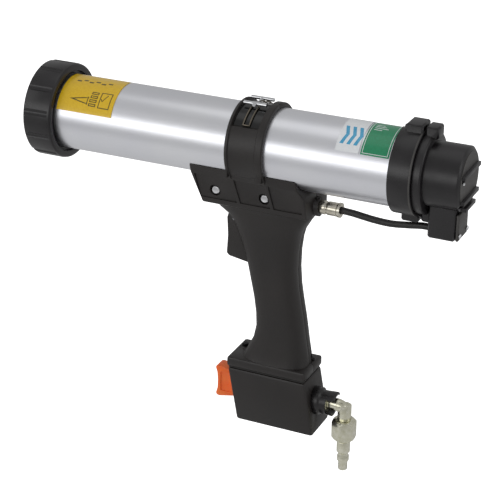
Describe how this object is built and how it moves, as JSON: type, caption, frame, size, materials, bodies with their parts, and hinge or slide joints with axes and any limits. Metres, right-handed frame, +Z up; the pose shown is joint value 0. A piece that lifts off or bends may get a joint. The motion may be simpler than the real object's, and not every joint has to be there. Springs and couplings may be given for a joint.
{
  "type": "caulking gun",
  "caption": "Air-powered caulking gun: round barrel tube with a threaded front cap and a piston, pistol handle clamped round it, base with a flow knob and a swivelling air plug.",
  "frame": {"origin": "centre of the pistol grip", "axes": "+X along the barrel towards the air end, -X the muzzle, +Z up, -Y the gun's left side"},
  "size_m": [0.3431, 0.073, 0.2943],
  "materials": {
    "black_nylon": "moulded satin black",
    "grip_nylon": "fine textured black-grey",
    "black_rubber": "matt black",
    "anodised_aluminium": "clear anodised satin",
    "zinc_steel": "zinc plated",
    "chrome": "bright plated",
    "nickel": "nickel plated",
    "brass": "machined",
    "spring_steel": "ground",
    "black_steel": "black oxide",
    "orange_plastic": "moulded orange",
    "white_acetal": "natural",
    "yellow_label": "printed film",
    "white_label": "printed film",
    "green_label": "printed film"
  },
  "bodies": {
    "gun": {"rear_ring": "black_nylon", "rear_cap": "black_nylon", "base_housing": "black_nylon", "inlet_socket": "black_nylon", "handle_left": "grip_nylon", "handle_right": "grip_nylon", "foot_cover": "grip_nylon", "cap_seal": "black_rubber", "base_gasket": "black_rubber", "air_hose": "black_rubber", "delivery_tube": "black_rubber", "supply_tube": "black_rubber", "barrel_tube": "anodised_aluminium", "shell_screw_front": "chrome", "shell_screw_rear": "chrome", "clamp_wire_left": "chrome", "clamp_wire_right": "chrome", "clamp_bar_left": "chrome", "clamp_bar_right": "chrome", "clamp_screw": "chrome", "foot_screw_left": "chrome", "foot_screw_right": "chrome", "hose_fitting": "nickel", "hose_collar": "nickel", "needle_gland": "nickel", "valve_body": "brass", "manifold": "brass", "trigger_pin": "spring_steel", "valve_spring": "spring_steel", "cap_screw_top": "black_steel", "cap_screw_bottom": "black_steel", "base_screw_front": "black_steel", "base_screw_rear": "black_steel", "label_loading": "yellow_label", "label_badge": "white_label", "label_data": "green_label"},
    "cap_carrier": {"cap_washer": "white_acetal"},
    "front_cap": {"front_cap": "black_nylon"},
    "piston": {"piston": "black_nylon", "piston_seal_front": "black_rubber", "piston_seal_rear": "black_rubber", "piston_washer": "zinc_steel", "piston_bolt": "zinc_steel", "piston_nut": "zinc_steel"},
    "trigger": {"trigger": "black_nylon"},
    "spool": {"valve_spool": "spring_steel", "spool_seal_front": "black_rubber", "spool_seal_rear": "black_rubber"},
    "needle": {"regulator_needle": "zinc_steel"},
    "knob": {"regulator_knob": "orange_plastic", "knob_screw": "zinc_steel"},
    "swivel": {"swivel_stem": "zinc_steel", "stem_seal": "black_rubber", "inlet_elbow": "zinc_steel", "coupling_nut": "zinc_steel", "air_plug": "zinc_steel"}
  },
  "joints": [
    {"name": "trigger_pull", "type": "hinge", "parent": "gun", "child": "trigger", "pos_m": [-0.031, 0, 0.052], "axis": [0, -1, 0], "range_deg": [0, 12], "stiffness_Nm_per_rad": 0.3, "springref_deg": -11.46},
    {"name": "valve_stroke", "type": "slide", "parent": "gun", "child": "spool", "axis": [1, 0, 0], "range_m": [0, 0.0034], "deforming": ["valve_spring"]},
    {"name": "knob_turn", "type": "hinge", "parent": "needle", "child": "knob", "pos_m": [-0.04, 0, -0.0925], "axis": [-1, 0, 0], "range_deg": [0, 540]},
    {"name": "needle_feed", "type": "slide", "parent": "gun", "child": "needle", "axis": [-1, 0, 0], "range_m": [0, 0.0016]},
    {"name": "cap_turn", "type": "hinge", "parent": "cap_carrier", "child": "front_cap", "pos_m": [-0.185, 0, 0.11], "axis": [-1, 0, 0], "range_deg": [0, 1440]},
    {"name": "cap_advance", "type": "slide", "parent": "gun", "child": "cap_carrier", "axis": [-1, 0, 0], "range_m": [0, 0.0161]},
    {"name": "piston_travel", "type": "slide", "parent": "gun", "child": "piston", "axis": [-1, 0, 0], "range_m": [0, 0.23]},
    {"name": "inlet_swivel", "type": "hinge", "parent": "gun", "child": "swivel", "pos_m": [0, 0, -0.0925], "axis": [1, 0, 0], "continuous": true}
  ],
  "couplings": [
    {"joint": "valve_stroke", "follows": "trigger_pull", "m_per_rad": 0.016},
    {"joint": "needle_feed", "follows": "knob_turn", "m_per_rad": 0.00015915},
    {"joint": "cap_advance", "follows": "cap_turn", "m_per_rad": 0.00063662}
  ]
}
